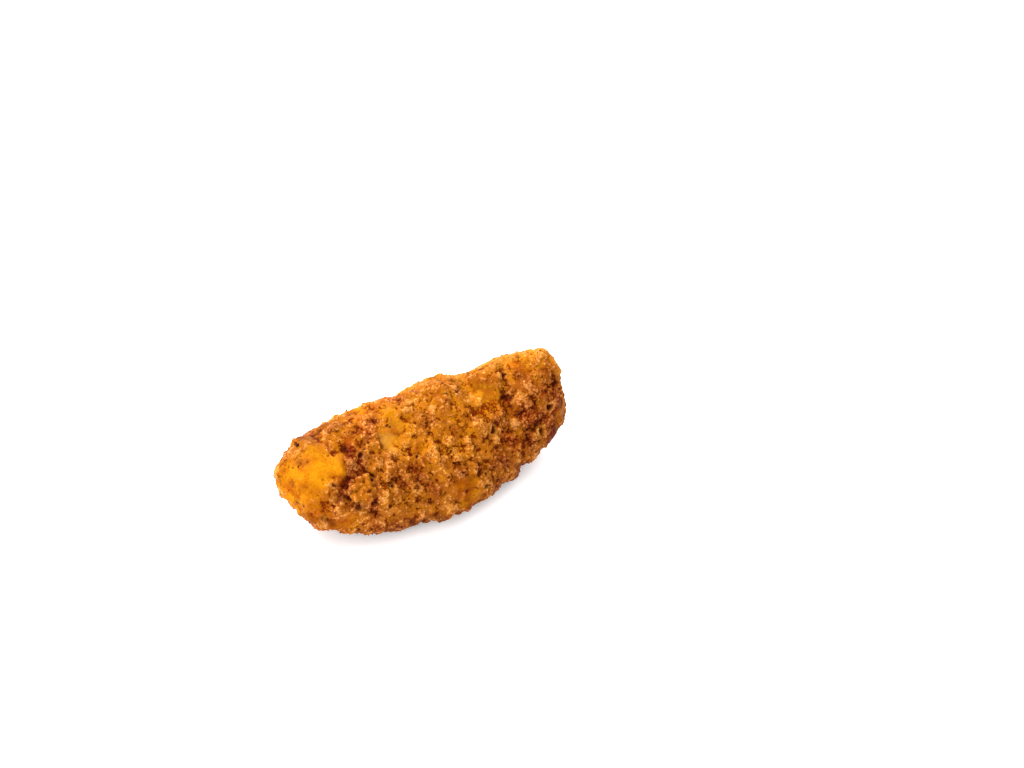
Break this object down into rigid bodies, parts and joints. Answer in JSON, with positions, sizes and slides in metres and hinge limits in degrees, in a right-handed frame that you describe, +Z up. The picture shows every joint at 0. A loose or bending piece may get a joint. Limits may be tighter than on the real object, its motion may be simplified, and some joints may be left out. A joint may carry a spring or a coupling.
{
  "type": "breaded chicken tender",
  "caption": "Deep-fried strip of chicken in a craggy flour crust, with a smooth narrow tip, a leaning ridge and a blunt end, lying on its flatter side.",
  "frame": {"origin": "centre of the bounding box at its base, on the surface that the tender lies on", "axes": "+X along the strip from its narrow tip to its blunt end, +Y from the long front flank to the back, +Z up"},
  "size_m": [0.1004, 0.0448, 0.0344],
  "materials": {
    "fried_crust": "craggy golden-brown fried crust with an oily sheen, yellower and smoother at the narrow tip"
  },
  "bodies": {
    "root": {"chicken_tender": "fried_crust"}
  },
  "joints": []
}
